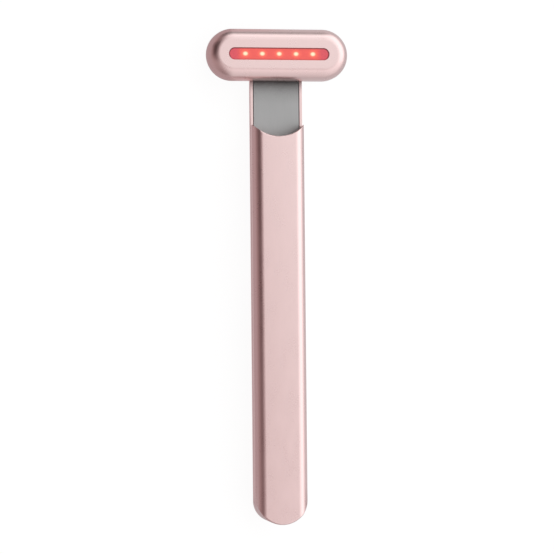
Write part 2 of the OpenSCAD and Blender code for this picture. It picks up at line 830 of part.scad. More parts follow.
module motor_leads() {
    y = motor_y0 - 1;
    color([0.6, 0.1, 0.1]) for (s = [-1, 1]) {
        x = s * motor_wire_x;
        lead(concat([[s, motor_y0, motor_z], [s, y, motor_z], [x, y, motor_z], [x, y, wire_z]],
                    to_plug(x)));
    }
}

module battery_leads() {
    z = port_z + 1.6;
    color([0.6, 0.1, 0.1]) for (s = [-1, 1]) {
        x = s * (motor_wire_x + 2 * wire_pitch + 0.2);
        lead([[x, guard_y1 - guard_l, z], [x, wire_turn_y + 0.4, z],
              [x, wire_turn_y + 0.4, wire_plug_z], [x, wire_plug_y, wire_plug_z]]);
    }
}

module battery_cell() {
    rim = 0.8;
    color(foil_silver) {
        translate([-battery_w / 2, battery_y0, battery_z0 + rim])
            cube([battery_w, battery_l, battery_t - 2 * rim]);
        translate([-battery_w / 2 + rim, battery_y0, battery_z0])
            cube([battery_w - 2 * rim, battery_l, battery_t]);
        for (s = [-1, 1], z = [battery_z0 + rim, battery_z1 - rim])
            along_y(battery_y0, battery_y1) translate([s * (battery_w / 2 - rim), z]) circle(r = rim);
    }
}

module protection_board() {
    color(board_green) {
        translate([-battery_w / 2 + 1, guard_y1 - guard_l, port_z + 0.8 - guard_t])
            cube([battery_w - 2, guard_l + 0.2, guard_t]);
        translate([-1.5, guard_y1 - guard_l + 0.8, port_z + 0.8]) cube([3, 1.6, 0.9]);
    }
}

module battery_pads() {
    pad_l = battery_l - 2 * pad_inset;
    tape_w = 3 * pad_w;
    color(rubber_grey) {
        intersection() {
            handle_space(shell_wall, floor_z, battery_z0);
            union() for (s = [-1, 1])
                translate([s * (wire_channel + pad_w / 2) - pad_w / 2, battery_y0 + pad_inset, 0])
                    cube([pad_w, pad_l, handle_t]);
        }
        translate([-tape_w / 2, battery_y0 + pad_inset, battery_z1]) cube([tape_w, pad_l, tape_t]);
    }
}

module main_board() {
    color(board_green) difference() {
        union() {
            translate([-board_w / 2, board_y0, board_z0]) cube([board_w, board_l, board_t]);
            translate([-board_nose_w / 2, board_nose_y, board_z0])
                cube([board_nose_w, board_y0 + eps - board_nose_y, board_t]);
        }
        for (p = board_screw_xy) translate([p[0], p[1], 0]) cylinder(r = hole_r, h = handle_t);
    }
}

// A flat part on the main board, centred at x across it and at y along it from its socket end
module part_on_board(x, y, size) {
    translate([x - size[0] / 2, board_y0 + y - size[1] / 2, board_z1]) cube(size);
}

module board_chips() {
    color(black_plastic) {
        part_on_board(-part_side, 2 * part_row, [driver_w, driver_w, chip_t]);
        part_on_board(0, 3 * part_row, [controller_w, controller_w, chip_t]);
        part_on_board(part_side, 5 * part_row, [driver_w, driver_w, chip_t]);
        part_on_board(-part_side, 5 * part_row, [crystal_l, crystal_w, crystal_h]);
    }
}

module board_passives() {
    small = [passive_l, passive_w, passive_w];
    edge_x = (board_w - passive_l) / 2 - passive_w;
    color(copper) {
        part_on_board(part_side, 4 * part_row, [inductor_w, inductor_w, inductor_h]);
        part_on_board(-part_side, 4 * part_row, [capacitor_l, capacitor_w, passive_w]);
        for (i = [0:2], j = [0, 1])
            part_on_board(-edge_x + 1.4 * j * passive_l, 6 * part_row + 2 * i * passive_w, small);
        for (i = [0:3]) part_on_board(edge_x, 2 * part_row + 2 * i * passive_w, small);
    }
}

module board_connectors() {
    h = 2 * (wire_plug_z - board_z1);
    l = 4.4;
    inner = motor_wire_x + wire_r + 0.25;
    outer_x = motor_wire_x + 2 * wire_pitch + 0.2;
    color(white_plastic) {
        translate([-inner, wire_plug_y - l, board_z1]) cube([2 * inner, l, h]);
        for (s = [-1, 1]) translate([s * outer_x - wire_r - 0.1, wire_plug_y - l, board_z1])
            cube([2 * wire_r + 0.2, l, h]);
    }
}

module charging_socket() {
    back_t = 0.5;
    color(steel) translate([0, 0, port_z]) difference() {
        along_y(socket_y0, socket_y1) stadium(usb_w, usb_h);
        along_y(socket_y0 - eps, socket_y1 - back_t)
            stadium(usb_w - 2 * usb_wall, usb_h - 2 * usb_wall);
    }
}

module socket_tongue() {
    back_t = 0.5;
    color(black_plastic) translate([0, 0, port_z]) {
        translate([-tongue_w / 2, socket_y0 + 0.8, -tongue_t / 2])
            cube([tongue_w, usb_l - back_t - 0.8, tongue_t]);
        along_y(socket_y1 - back_t - 1.5, socket_y1 - back_t)
            stadium(usb_w - 2 * usb_wall, usb_h - 2 * usb_wall);
    }
}

module port_bezel() {
    color(rubber_grey) intersection() {
        translate([0, 0, port_z]) difference() {
            along_y(end_y, end_y + bezel_l) stadium(bezel_w, bezel_h);
            along_y(end_y - eps, end_y + bezel_l + eps)
                stadium(usb_w + 2 * port_gap, usb_h + 2 * port_gap);
        }
        translate([0, end_cy, 0]) cylinder(r = half_w - 0.1, h = handle_t);
    }
}

// A bent leaf spring in the plane across the handle, rising by height
module leaf(height, length, width) {
    t = 0.2;
    translate([-width / 2, 0, 0]) rotate([90, 0, 90]) linear_extrude(width) {
        square([length, t]);
        translate([length - t, 0]) square([t, height * 0.45]);
        polygon([[length, height * 0.45 - t], [length, height * 0.45], [t, height], [0, height - t]]);
        translate([-0.3, height - t]) square([0.6, t]);
    }
}

module ground_spring() {
    color(brass) translate([2.4, board_y0 + 20, board_z0]) mirror([0, 0, 1])
        leaf(board_z0 - floor_z, 4, 1.6);
}

module contact_spring() {
    color(brass) translate([film_end_x + 1, pivot_y - 1.6, led_z0]) leaf(head_inner_z - led_z0, 3.2, 1.2);
}

// The head's outline about its centre, inset by a wall
module head_plan(inset) {
    stadium(head_l - 2 * inset, head_w - 2 * inset);
}

// Half of the head's cross section from its middle out, inset by a wall, between its back and its front
module head_half_section(inset, z0) {
    w = head_half - inset;
    r = head_r - inset;
    z1 = head_z1 - inset;
    translate([0, z0]) square([w, z1 - r - z0]);
    translate([0, z0]) square([w - r, z1 - z0]);
    translate([w - r, z1 - r]) intersection() {
        circle(r = r);
        square([r, r]);
    }
}

// The head's form with a rounded front edge, inset by a wall, standing on height z0
module head_form(inset, z0) {
    for (s = [-1, 1]) translate([s * head_end_x, 0, 0]) rotate_extrude() head_half_section(inset, z0);
    rotate([90, 0, 90]) translate([0, 0, -head_end_x]) linear_extrude(2 * head_end_x) {
        head_half_section(inset, z0);
        mirror([1, 0]) head_half_section(inset, z0);
    }
}

// The chamfer round the head's back edge, as what is left inside it
module head_back_chamfer() {
    for (s = [-1, 1]) translate([s * head_end_x, 0, head_z0])
        cylinder(r1 = head_half - head_back_edge, r2 = head_half, h = head_back_edge);
    rotate([90, 0, 90]) translate([0, head_z0, -head_end_x]) linear_extrude(2 * head_end_x)
        polygon([[head_back_edge - head_half, 0], [head_half - head_back_edge, 0],
                 [head_half, head_back_edge], [-head_half, head_back_edge]]);
}

module head_shell() {
    color(rose) translate([0, pivot_y, 0]) {
        difference() {
            union() {
                head_back_chamfer();
                head_form(0, head_z0 + head_back_edge);
            }
            head_form(head_wall, head_z0 - eps);
            translate([0, 0, head_inner_z - eps]) linear_extrude(head_wall + 2 * eps)
                stadium(window_l, window_w);
        }
        difference() {
            intersection() {
                head_form(head_wall / 2, head_z0);
                for (a = head_screw_a) rotate(a) translate([head_screw_r, 0, flange_z1])
                    cylinder(r = hole_r + 0.55, h = head_t);
            }
            for (a = head_screw_a) rotate(a) translate([head_screw_r, 0, flange_z1 - eps])
                cylinder(r = hole_r, h = head_screw_z + head_screw_l + screw_tip - flange_z1 + eps);
        }
    }
}

module head_back_cover() {
    post_x = (pivot_flange_d / 2 + led_board_l / 2) / 2;
    color(plate_grey) translate([0, pivot_y, 0]) difference() {
        union() {
            translate([0, 0, head_z0]) linear_extrude(back_cover_t) head_plan(head_wall + back_cover_gap);
            for (x = [-1, 1] * post_x, y = [-1, 1] * (led_board_w / 2 - 0.9))
                translate([x, y, back_cover_z1 - 0.2])
                    cylinder(r = 0.8, h = led_board_z0 - back_cover_z1 + 0.2);
        }
        translate([0, 0, head_z0 - eps]) cylinder(r = pivot_r, h = back_cover_t + 2 * eps);
        for (a = head_screw_a) rotate(a) translate([head_screw_r, 0, head_z0 - eps]) {
            cylinder(r = hole_r, h = back_cover_t + 2 * eps);
            cylinder(d = screw_head_d + 2 * screw_gap, h = screw_head_h + screw_sink + eps);
        }
    }
}

module head_screws() {
    color(steel) translate([0, pivot_y, 0]) for (a = head_screw_a)
        rotate(a) translate([head_screw_r, 0, head_screw_z]) screw_up(head_screw_l);
}

module light_window() {
    color(window_red) translate([0, pivot_y, 0]) {
        translate([0, 0, flange_low_z]) linear_extrude(window_z1 - flange_low_z)
            stadium(window_l - 2 * window_gap, window_w - 2 * window_gap);
        translate([0, 0, flange_low_z]) linear_extrude(window_flange_t)
            stadium(window_l + 2 * window_flange, window_w + 2 * window_flange);
    }
}

module window_gasket() {
    color(black_plastic) translate([0, pivot_y, flange_top_z]) linear_extrude(gasket_t) difference() {
        stadium(window_l + 2 * window_flange, window_w + 2 * window_flange);
        stadium(window_l, window_w);
    }
}

// Copies what follows to each lamp's place along the head
module at_leds() {
    for (i = [0:led_count - 1]) translate([(i - (led_count - 1) / 2) * led_pitch, pivot_y, 0]) children();
}

module led_reflector() {
    h = flange_low_z - led_z0;
    color(white_plastic) difference() {
        translate([0, pivot_y, led_z0]) linear_extrude(h) stadium(reflector_l, reflector_w);
        at_leds() translate([0, 0, led_z0 - 0.01])
            cylinder(r1 = well_r, r2 = well_r + well_flare, h = h + 0.02);
    }
}

module led_board() {
    color(white_plastic) translate([-led_board_l / 2, pivot_y - led_board_w / 2, led_board_z0])
        cube([led_board_l, led_board_w, led_board_t]);
}

module led_packages() {
    color(white_plastic) at_leds() translate([-led_w / 2, -led_w / 2, led_z0]) cube([led_w, led_w, led_h]);
}

module led_domes() {
    ball_r = (dome_r * dome_r + dome_h * dome_h) / (2 * dome_h);
    color(lamp_yellow) at_leds() intersection() {
        translate([0, 0, led_z1 + dome_h - ball_r]) sphere(r = ball_r);
        translate([0, 0, led_z1]) cylinder(r = dome_r, h = dome_h);
    }
}

module heater_film() {
    color(film_amber) translate([0, pivot_y, head_inner_z - film_t]) linear_extrude(film_t) difference() {
        intersection() {
            head_plan(head_r + film_edge);
            square([2 * film_end_x, body_w], center = true);
        }
        stadium(window_l + 2 * window_flange + 2 * film_edge, window_w + 2 * window_flange + 2 * film_edge);
        for (a = head_screw_a) rotate(a) translate([head_screw_r, 0]) circle(r = hole_r + 0.75);
    }
}

module temperature_sensor() {
    x = -window_l / 4;
    y = (head_half - head_r + window_w / 2 + window_flange) / 2;
    color(black_plastic) translate([x - 1, pivot_y + y - 0.5, head_inner_z - film_t - 0.6])
        cube([2, 1, 0.6]);
}

module motor_boot() {
    color(rubber_grey) along_y(boot_y0, boot_y1) translate([0, motor_z]) difference() {
        circle(r = boot_r);
        circle(r = motor_r);
    }
}

module motor_can() {
    color(steel) translate([0, 0, motor_z]) difference() {
        along_y(motor_y0, motor_y1) circle(r = motor_r);
        along_y(motor_y0 - eps, motor_y1 - 0.5) circle(r = motor_r - motor_wall);
        along_y(motor_y0, motor_y1 + eps) circle(r = shaft_d / 2 + shaft_fit);
    }
}

module motor_end_cap() {
    color(black_plastic) translate([0, 0, motor_z]) difference() {
        along_y(motor_y0, motor_y0 + end_cap_t) circle(r = motor_r - motor_wall);
        along_y(motor_y0 + end_cap_t / 2, motor_y0 + end_cap_t + eps) circle(r = shaft_d / 2 + shaft_fit);
    }
}

module motor_magnet() {
    color(rubber_grey) translate([0, 0, motor_z]) along_y(coil_y0 + coil_base_t + 0.4, motor_y1 - 0.5)
        difference() {
            circle(r = magnet_r);
            circle(r = shaft_d / 2 + motor_gap);
        }
}

module motor_shaft() {
    color(steel) translate([0, 0, motor_z])
        along_y(motor_y0 + end_cap_t / 2 + 0.1, weight_y1 + 0.2) circle(d = shaft_d);
}

module coil_cup() {
    color(copper) translate([0, 0, motor_z]) difference() {
        along_y(coil_y0, motor_y1 - 0.5 - motor_gap) circle(r = coil_r);
        along_y(coil_y0 + coil_base_t, motor_y1) circle(r = coil_r - coil_t);
        along_y(coil_y0 - eps, motor_y1) circle(d = shaft_d);
    }
}

module eccentric_weight() {
    hub_r = 1;
    color(steel) translate([0, 0, motor_z]) along_y(weight_y0, weight_y1) difference() {
        union() {
            circle(r = hub_r);
            intersection() {
                circle(r = weight_r);
                translate([-weight_r, -weight_r]) square([2 * weight_r, weight_r]);
            }
        }
        circle(d = shaft_d);
    }
}

rear_shell();
front_cover();
neck_plate();
neck_frame();
plate_screws();
cover_screws();
pivot_bush();
thrust_washer();
detent_spring();
position_switch();
switch_board();
switch_leads();
motor_boot();
motor_can();
motor_end_cap();
motor_magnet();
motor_leads();
battery_cell();
protection_board();
battery_pads();
battery_leads();
main_board();
board_chips();
board_passives();
board_connectors();
board_screws();
charging_socket();
socket_tongue();
port_bezel();
ground_spring();
neck_leads();
head_shell();
head_back_cover();
light_window();
window_gasket();
led_reflector();
led_board();
led_packages();
led_domes();
heater_film();
temperature_sensor();
contact_spring();
head_screws();
pivot_tube();
slip_washer();
switch_cam();
retaining_ring();
head_leads();
switch_plunger();
motor_shaft();
coil_cup();
eccentric_weight();
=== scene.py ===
"""Skincare wand: the finish of every piece, its lamps, contacts and screws, and the studio round it."""

import json
import math

import bmesh
import bpy
from bpy.props import FloatProperty, FloatVectorProperty, IntProperty, PointerProperty
from mathutils import Matrix, Vector


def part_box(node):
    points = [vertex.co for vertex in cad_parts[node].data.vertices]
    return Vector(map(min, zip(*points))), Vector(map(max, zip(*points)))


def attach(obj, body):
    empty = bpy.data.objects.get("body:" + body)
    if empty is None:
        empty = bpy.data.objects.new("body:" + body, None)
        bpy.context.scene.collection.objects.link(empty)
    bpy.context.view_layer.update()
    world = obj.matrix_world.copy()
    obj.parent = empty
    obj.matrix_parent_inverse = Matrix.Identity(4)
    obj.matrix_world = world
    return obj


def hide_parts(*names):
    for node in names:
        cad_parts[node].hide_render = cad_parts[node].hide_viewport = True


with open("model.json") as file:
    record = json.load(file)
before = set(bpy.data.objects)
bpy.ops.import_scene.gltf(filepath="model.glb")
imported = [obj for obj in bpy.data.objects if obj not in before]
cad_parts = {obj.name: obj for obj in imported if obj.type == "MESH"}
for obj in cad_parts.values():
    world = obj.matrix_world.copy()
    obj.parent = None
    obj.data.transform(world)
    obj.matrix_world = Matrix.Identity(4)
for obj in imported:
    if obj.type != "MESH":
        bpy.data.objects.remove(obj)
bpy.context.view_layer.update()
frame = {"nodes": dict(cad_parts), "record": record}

bl_info = {
    "name": "Skincare Wand",
    "version": (1, 0, 0),
    "blender": (4, 5, 0),
    "location": "3D View > Sidebar > Wand",
    "description": "Finishes the pieces of a skincare wand and sets up its studio",
    "category": "Object",
}

MM = 0.001
# Points nearer to each other than this count as one point.
TOUCH = 0.001 * MM
# Edges that turn by less than this are shaded smoothly and aren't rounded.
SHARP = math.radians(32)


class Value:
    """One output of a node. Arithmetic on it adds Math nodes to its tree."""

    def __init__(self, tree, socket):
        self.tree = tree
        self.socket = socket

    def __add__(self, other):
        return self.tree.math("ADD", self, other)

    def __radd__(self, other):
        return self.tree.math("ADD", other, self)

    def __sub__(self, other):
        return self.tree.math("SUBTRACT", self, other)

    def __rsub__(self, other):
        return self.tree.math("SUBTRACT", other, self)

    def __mul__(self, other):
        return self.tree.math("MULTIPLY", self, other)

    def __rmul__(self, other):
        return self.tree.math("MULTIPLY", other, self)

    def __truediv__(self, other):
        return self.tree.math("DIVIDE", self, other)

    def __rtruediv__(self, other):
        return self.tree.math("DIVIDE", other, self)

    def __pow__(self, other):
        return self.tree.math("POWER", self, other)

    def __rpow__(self, other):
        return self.tree.math("POWER", other, self)

    def __neg__(self):
        return self.tree.math("MULTIPLY", -1, self)

    def __abs__(self):
        return self.tree.math("ABSOLUTE", self)

    def step(self, low, high):
        """A smooth step from 0 at low to 1 at high."""
        inputs = {"Value": self, "From Min": low, "From Max": high}
        return self.tree.add("ShaderNodeMapRange", {"interpolation_type": "SMOOTHSTEP"}, inputs)

    def parts(self):
        """The x, y and z of a vector."""
        node = self.tree.add("ShaderNodeSeparateXYZ", inputs={0: self}).socket.node
        return [Value(self.tree, socket) for socket in node.outputs]


class Tree:
    """A node tree, with one method that adds any node."""

    def __init__(self, tree):
        self.tree = tree

    def add(self, kind, settings=None, inputs=None, output=0):
        """Adds a node, sets its settings, then the values or links of its sockets, and gives one output."""
        node = self.tree.nodes.new(kind)
        for name, value in (settings or {}).items():
            if name == "stops":
                self.set_stops(node.color_ramp.elements, value)
            else:
                setattr(node, name, value)
        for key, value in (inputs or {}).items():
            self.put(node.inputs[key], value)
        return Value(self, node.outputs[output])

    def put(self, socket, value):
        """Links a socket to another node's output, or sets its value."""
        if isinstance(value, Value):
            self.tree.links.new(value.socket, socket)
        else:
            socket.default_value = value

    def set_stops(self, elements, stops):
        """Gives a colour ramp its stops, from (position, colour) pairs."""
        while len(elements) < len(stops):
            elements.new(1.0)
        for element, (position, colour) in zip(elements, stops):
            element.position = position
            element.color = colour

    def math(self, operation, *values):
        """Adds a Math node."""
        return self.add("ShaderNodeMath", {"operation": operation}, dict(enumerate(values)))

    def vector(self, operation, *values):
        """Adds a Vector Math node."""
        return self.add("ShaderNodeVectorMath", {"operation": operation}, dict(enumerate(values)))

    def mix(self, factor, low, high):
        """Mixes two colours."""
        # Sockets 6 and 7 are the node's colours, and its output 2 is their mix.
        return self.add("ShaderNodeMix", {"data_type": "RGBA"}, {0: factor, 6: low, 7: high}, output=2)


class Layout(Tree):
    """A geometry node tree with named inputs, which sets out copies of one piece."""

    def __init__(self, name):
        super().__init__(bpy.data.node_groups.new(name, "GeometryNodeTree"))
        self.identifiers = {}
        self.source = self.tree.nodes.new("NodeGroupInput")
        self.result = self.tree.nodes.new("NodeGroupOutput")
        self.tree.interface.new_socket(name="Result", in_out="OUTPUT", socket_type="NodeSocketGeometry")
        self.points = self.input("Points", "Geometry")

    def input(self, name, kind):
        """Adds a named input, of a kind such as Float, and gives its value."""
        item = self.tree.interface.new_socket(name=name, in_out="INPUT", socket_type="NodeSocket" + kind)
        self.identifiers[name] = item.identifier
        return Value(self, self.source.outputs[name])

    def set_out(self, points, turn=None):
        """Puts the piece on each point, as real faces with their material."""
        info = {"Object": self.input("Piece", "Object")}
        shape = self.add("GeometryNodeObjectInfo", {"transform_space": "ORIGINAL"}, info, "Geometry")
        copies = {"Points": points, "Instance": shape}
        if turn:
            copies["Rotation"] = turn
        placed = self.add("GeometryNodeInstanceOnPoints", inputs=copies)
        real = self.add("GeometryNodeRealizeInstances", inputs={"Geometry": placed})
        finished = {"Geometry": real, "Material": self.input("Material", "Material")}
        self.put(self.result.inputs["Result"], self.add("GeometryNodeSetMaterial", inputs=finished))

    def make(self, name, points, piece, settings):
        """The plain mesh of all the copies. The single piece that they are copied from is removed."""
        host = bpy.data.objects.new(name + "_host", points)
        bpy.context.scene.collection.objects.link(host)
        modifier = host.modifiers.new("Layout", "NODES")
        modifier.node_group = self.tree
        for key, value in {"Piece": piece, **settings}.items():
            modifier[self.identifiers[key]] = value
        evaluated = host.evaluated_get(bpy.context.evaluated_depsgraph_get())
        mesh = bpy.data.meshes.new_from_object(evaluated)
        mesh.name = name
        bpy.data.objects.remove(host)
        bpy.data.objects.remove(piece)
        return mesh


def row_layout():
    """Copies of a piece in a straight row along x."""
    tree = Layout("row of pieces")
    count = tree.input("Count", "Int")
    pitch = tree.input("Pitch", "Float")
    start = tree.input("Start", "Vector")
    offset = tree.add("ShaderNodeCombineXYZ", inputs={0: pitch})
    line = {"Count": count, "Start Location": start, "Offset": offset}
    tree.set_out(tree.add("GeometryNodeMeshLine", {"mode": "OFFSET"}, line))
    return tree


def scatter_layout():
    """Copies of a piece on given points, each with a turn of its own about z."""
    tree = Layout("pieces on points")
    # Sockets 2 and 3 are the lowest and the highest number.
    limits = {2: 0.0, 3: 2 * math.pi, "Seed": tree.input("Seed", "Int")}
    angle = tree.add("FunctionNodeRandomValue", {"data_type": "FLOAT"}, limits, 1)
    tree.set_out(tree.points, tree.add("ShaderNodeCombineXYZ", inputs={2: angle}))
    return tree


class Finish(Tree):
    """A material with one Principled shader, whose patterns are measured in millimetres on the piece."""

    def __init__(self, name, constants):
        material = bpy.data.materials.new(name)
        material.use_nodes = True
        super().__init__(material.node_tree)
        self.shader = self.tree.nodes["Principled BSDF"]
        for socket, value in constants.items():
            self.shader.inputs[socket].default_value = value
        self.place = self.vector("MULTIPLY", self.add("ShaderNodeTexCoord", output="Object"), (1 / MM,) * 3)

    def noise(self, size, detail, stretch=(1, 1, 1)):
        """Even noise whose features are size millimetres across, drawn out by stretch."""
        place = self.vector("DIVIDE", self.place, stretch)
        inputs = {"Vector": place, "Scale": 1 / size, "Detail": detail, "Roughness": 0.55}
        return self.add("ShaderNodeTexNoise", inputs=inputs)

    def shade(self, colour, factor, amount):
        """A colour that varies by amount about its value as factor goes from 0 to 1."""
        low = tuple(c * (1 - amount) for c in colour) + (1,)
        high = tuple(min(1, c * (1 + amount)) for c in colour) + (1,)
        return self.mix(factor, low, high)

    def unshadowed_share(self, distance):
        """Falls from 1 to 0 where a piece shelters an upward surface from the light at its head and right, to
        mask painted shadow.
        """
        # The socket for the direction is read only when something is linked to it.
        light_side = self.vector("NORMALIZE", (0.36, 0.46, 0.81))
        inputs = {"Distance": distance * MM, "Normal": light_side}
        free = self.add("ShaderNodeAmbientOcclusion", {"samples": 8}, inputs, "AO").step(0.2, 0.8)
        # A surface that doesn't face up counts as open.
        _, _, up = self.add("ShaderNodeNewGeometry", output="Normal").parts()
        return self.math("MAXIMUM", free, 1 - up.step(0.9, 0.98))

    def bump(self, height, depth):
        """Raises the surface by depth millimetres where height is 1."""
        inputs = {"Strength": 1.0, "Distance": depth * MM, "Height": height}
        self.put(self.shader.inputs["Normal"], self.add("ShaderNodeBump", inputs=inputs))

    def set(self, socket, value):
        """Links or sets one socket of the shader."""
        self.put(self.shader.inputs[socket], value)


def colour_property(name, text, default):
    """A colour that a user may change."""
    return FloatVectorProperty(
        name=name, description=text, subtype="COLOR", size=3, min=0, max=1, default=default)


def length_property(name, text, default):
    """A length that a user may change."""
    return FloatProperty(
        name=name, description=text, unit="LENGTH", subtype="DISTANCE", min=0, precision=5, default=default)


def angle_property(name, text, degrees):
    """An angle that a user may change."""
    return FloatProperty(
        name=name, description=text, unit="ROTATION", subtype="ANGLE", default=math.radians(degrees))


class WandFinish(bpy.types.PropertyGroup):
    """Colours and fine sizes of the wand's surfaces."""

    rose: colour_property("Rose metal", "Colour of the handle's and the head's metal", (0.85, 0.64, 0.63))
    plate: colour_property("Neck plate", "Colour of the neck plate's metal", (0.465, 0.47, 0.47))
    back_cover: colour_property("Back cover", "Colour of the head's back cover", (0.34, 0.34, 0.35))
    window: colour_property("Window", "Colour of the light window", (0.62, 0.07, 0.06))
    window_end: colour_property("Window ends", "Colour of the window past its last lamps", (0.56, 0.05, 0.08))
    glow: colour_property("Glow", "Colour of the light at the heart of a lamp", (1.0, 0.86, 0.55))
    halo: colour_property("Halo", "Colour of the light round a lamp", (1.0, 0.22, 0.1))
    crown: length_property(
        "Crown", "Fall of the front cover's flat from its middle to its long sides", 0.07 * MM)
    edge_round: length_property("Edge rounding", "Rounding of the shells' fine edges", 0.1 * MM)
    rim_round: length_property("Rim rounding", "Rounding of the front cover's scooped rim", 0.22 * MM)
    plate_round: length_property("Plate rounding", "Rounding of the neck plate's edges", 0.06 * MM)
    contact_count: IntProperty(
        name="Contacts", description="Contacts on each face of the charging socket's tongue",
        min=1, default=12)
    contact_pitch: length_property("Contact pitch", "Distance from one contact to the next", 0.5 * MM)
    contact_length: length_property("Contact length", "Length of a contact", 3.2 * MM)


class WandStudio(bpy.types.PropertyGroup):
    """The camera and the floor."""

    azimuth: angle_property("Azimuth", "Angle of the camera to the left of the wand's front", 10.4713)
    elevation: angle_property("Elevation", "Angle of the camera towards the head", -0.9109)
    roll: angle_property("Roll", "Turn of the camera about its own line of sight", -0.5579)
    distance: length_property("Distance", "Distance of the camera from its target", 857.58 * MM)
    target_z: length_property("Target height", "Height of the camera's target above the floor", 6.5 * MM)
    aim_right: FloatProperty(
        name="Aim right", description="Shift of the target to the right", unit="LENGTH", default=-0.2146 * MM)
    aim_up: FloatProperty(
        name="Aim up", description="Shift of the target upwards", unit="LENGTH", default=-0.124 * MM)
    lens: FloatProperty(
        name="Lens", description="Focal length of the camera", unit="CAMERA", min=1, default=163.65)
    floor_size: length_property("Floor", "Side of the floor", 6.0)


def rose_metal(wand):
    """Satin rose metal: a fine blasted grain under a clear anodised skin, with painted shadow where other
    pieces shelter it.
    """
    finish = Finish("rose_metal", {"Metallic": 1.0})
    grain = finish.noise(size=0.3, detail=2)
    cloud = finish.noise(size=3, detail=3, stretch=(1, 2.5, 1))
    bright = finish.shade(wand.rose, grain * 0.5 + cloud * 0.5, amount=0.08)
    # Painted shadow: the metal is darkened where other pieces shelter it from the light.
    painted_shadow = (0.2, 0.14, 0.14, 1)
    finish.set("Base Color", finish.mix(finish.unshadowed_share(distance=5), painted_shadow, bright))
    finish.set("Roughness", 0.21 + grain * 0.06 + cloud * 0.1)
    finish.bump(grain, depth=0.003)


def plate_steel(wand):
    """Satin grey metal, drawn lengthwise into fine lines, with painted shadow under the head and beside the
    front cover.
    """
    finish = Finish("plate_steel", {"Metallic": 1.0})
    lines = finish.noise(size=0.12, detail=3, stretch=(1, 60, 1))
    cloud = finish.noise(size=8, detail=2)
    bright = finish.shade(wand.plate, lines * 0.6 + cloud * 0.4, amount=0.12)
    # Painted shadow: the plate is darkened under the head and where the front cover shelters it from the
    # light.
    painted_shadow = (0.05, 0.05, 0.05, 1)
    finish.set("Base Color", finish.mix(finish.unshadowed_share(distance=9), painted_shadow, bright))
    finish.set("Roughness", 0.5 + lines * 0.08)
    finish.bump(lines, depth=0.002)


def moulded(name, colour, roughness, texture=0.25, depth=0.01, coat=0.0):
    """A moulded plastic or rubber with a fine spark-eroded texture."""
    finish = Finish(name, {"Coat Weight": coat, "Coat Roughness": 0.1})
    grain = finish.noise(size=texture, detail=3)
    cloud = finish.noise(size=9, detail=2)
    finish.set("Base Color", finish.shade(colour, cloud * 0.6 + grain * 0.4, amount=0.08))
    finish.set("Roughness", roughness - 0.04 + grain * 0.08)
    finish.bump(grain, depth)


def drawn_metal(name, colour, roughness, stretch=(1, 12, 1)):
    """A drawn or turned metal, with fine lines where stretch draws them out."""
    finish = Finish(name, {"Metallic": 1.0})
    lines = finish.noise(size=0.1, detail=3, stretch=stretch)
    stain = finish.noise(size=3, detail=2)
    finish.set("Base Color", finish.shade(colour, lines * 0.5 + stain * 0.5, amount=0.08))
    finish.set("Roughness", roughness - 0.05 + lines * 0.1)
    finish.bump(lines, depth=0.003)


# Distances in millimetres over which the window's painted light and colour change: the bright core and the
# halo of a lamp's painted glow, from its middle, the painted shade of the rim, from the window's edge, and
# the dim ends, from the last lamp.
CORE_FADE = (0.3, 1.15)
HALO_FADE = (0.5, 2.2)
RIM_SHADE_FADE = (0.1, 0.48)
END_FADE = (1.2, 3.4)


def window_masks(finish):
    """Masks on the light window: the painted glow of every lamp's core and halo, the painted shade of the rim
    and the dim ends.
    """
    low, high = end_box("light_window", 2, 1)
    lamp_low, lamp_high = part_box("led_packages")
    lamp_count = len(solids("led_packages"))
    lamp_width = lamp_high.y - lamp_low.y
    pitch = (lamp_high.x - lamp_low.x - lamp_width) / (lamp_count - 1) / MM
    half_width = (high.y - low.y) / 2 / MM
    half_run = (high.x - low.x) / 2 / MM - half_width
    middle = (low + high) / 2 / MM
    to_middle = {"Vector": finish.place, "Location": (middle.x, middle.y, 0)}
    x, y, _ = finish.add("ShaderNodeMapping", {"vector_type": "TEXTURE"}, to_middle).parts()

    last = (lamp_count - 1) / 2
    nearest = finish.math("MAXIMUM", finish.math("MINIMUM", finish.math("ROUND", x / pitch), last), -last)
    along = x - nearest * pitch
    # A lamp's glow is a little wider than it is high.
    reach = (along * along + y * y * 1.5) ** 0.5
    core = 1 - reach.step(*CORE_FADE)
    halo = 1 - reach.step(*HALO_FADE)
    ends = abs(x).step(last * pitch + END_FADE[0], last * pitch + END_FADE[1])

    past = finish.math("MAXIMUM", abs(x) - half_run, 0.0)
    inside = half_width - (past * past + y * y) ** 0.5
    # Painted shade: the rim is darkest along the window's upper side and round its ends, as the slot would
    # shade it.
    shaded = (past / half_width + y / half_width).step(-0.4, 0.7)
    rim = (1 - inside.step(*RIM_SHADE_FADE)) * (0.3 + shaded * 0.7)
    return core, halo, rim, ends


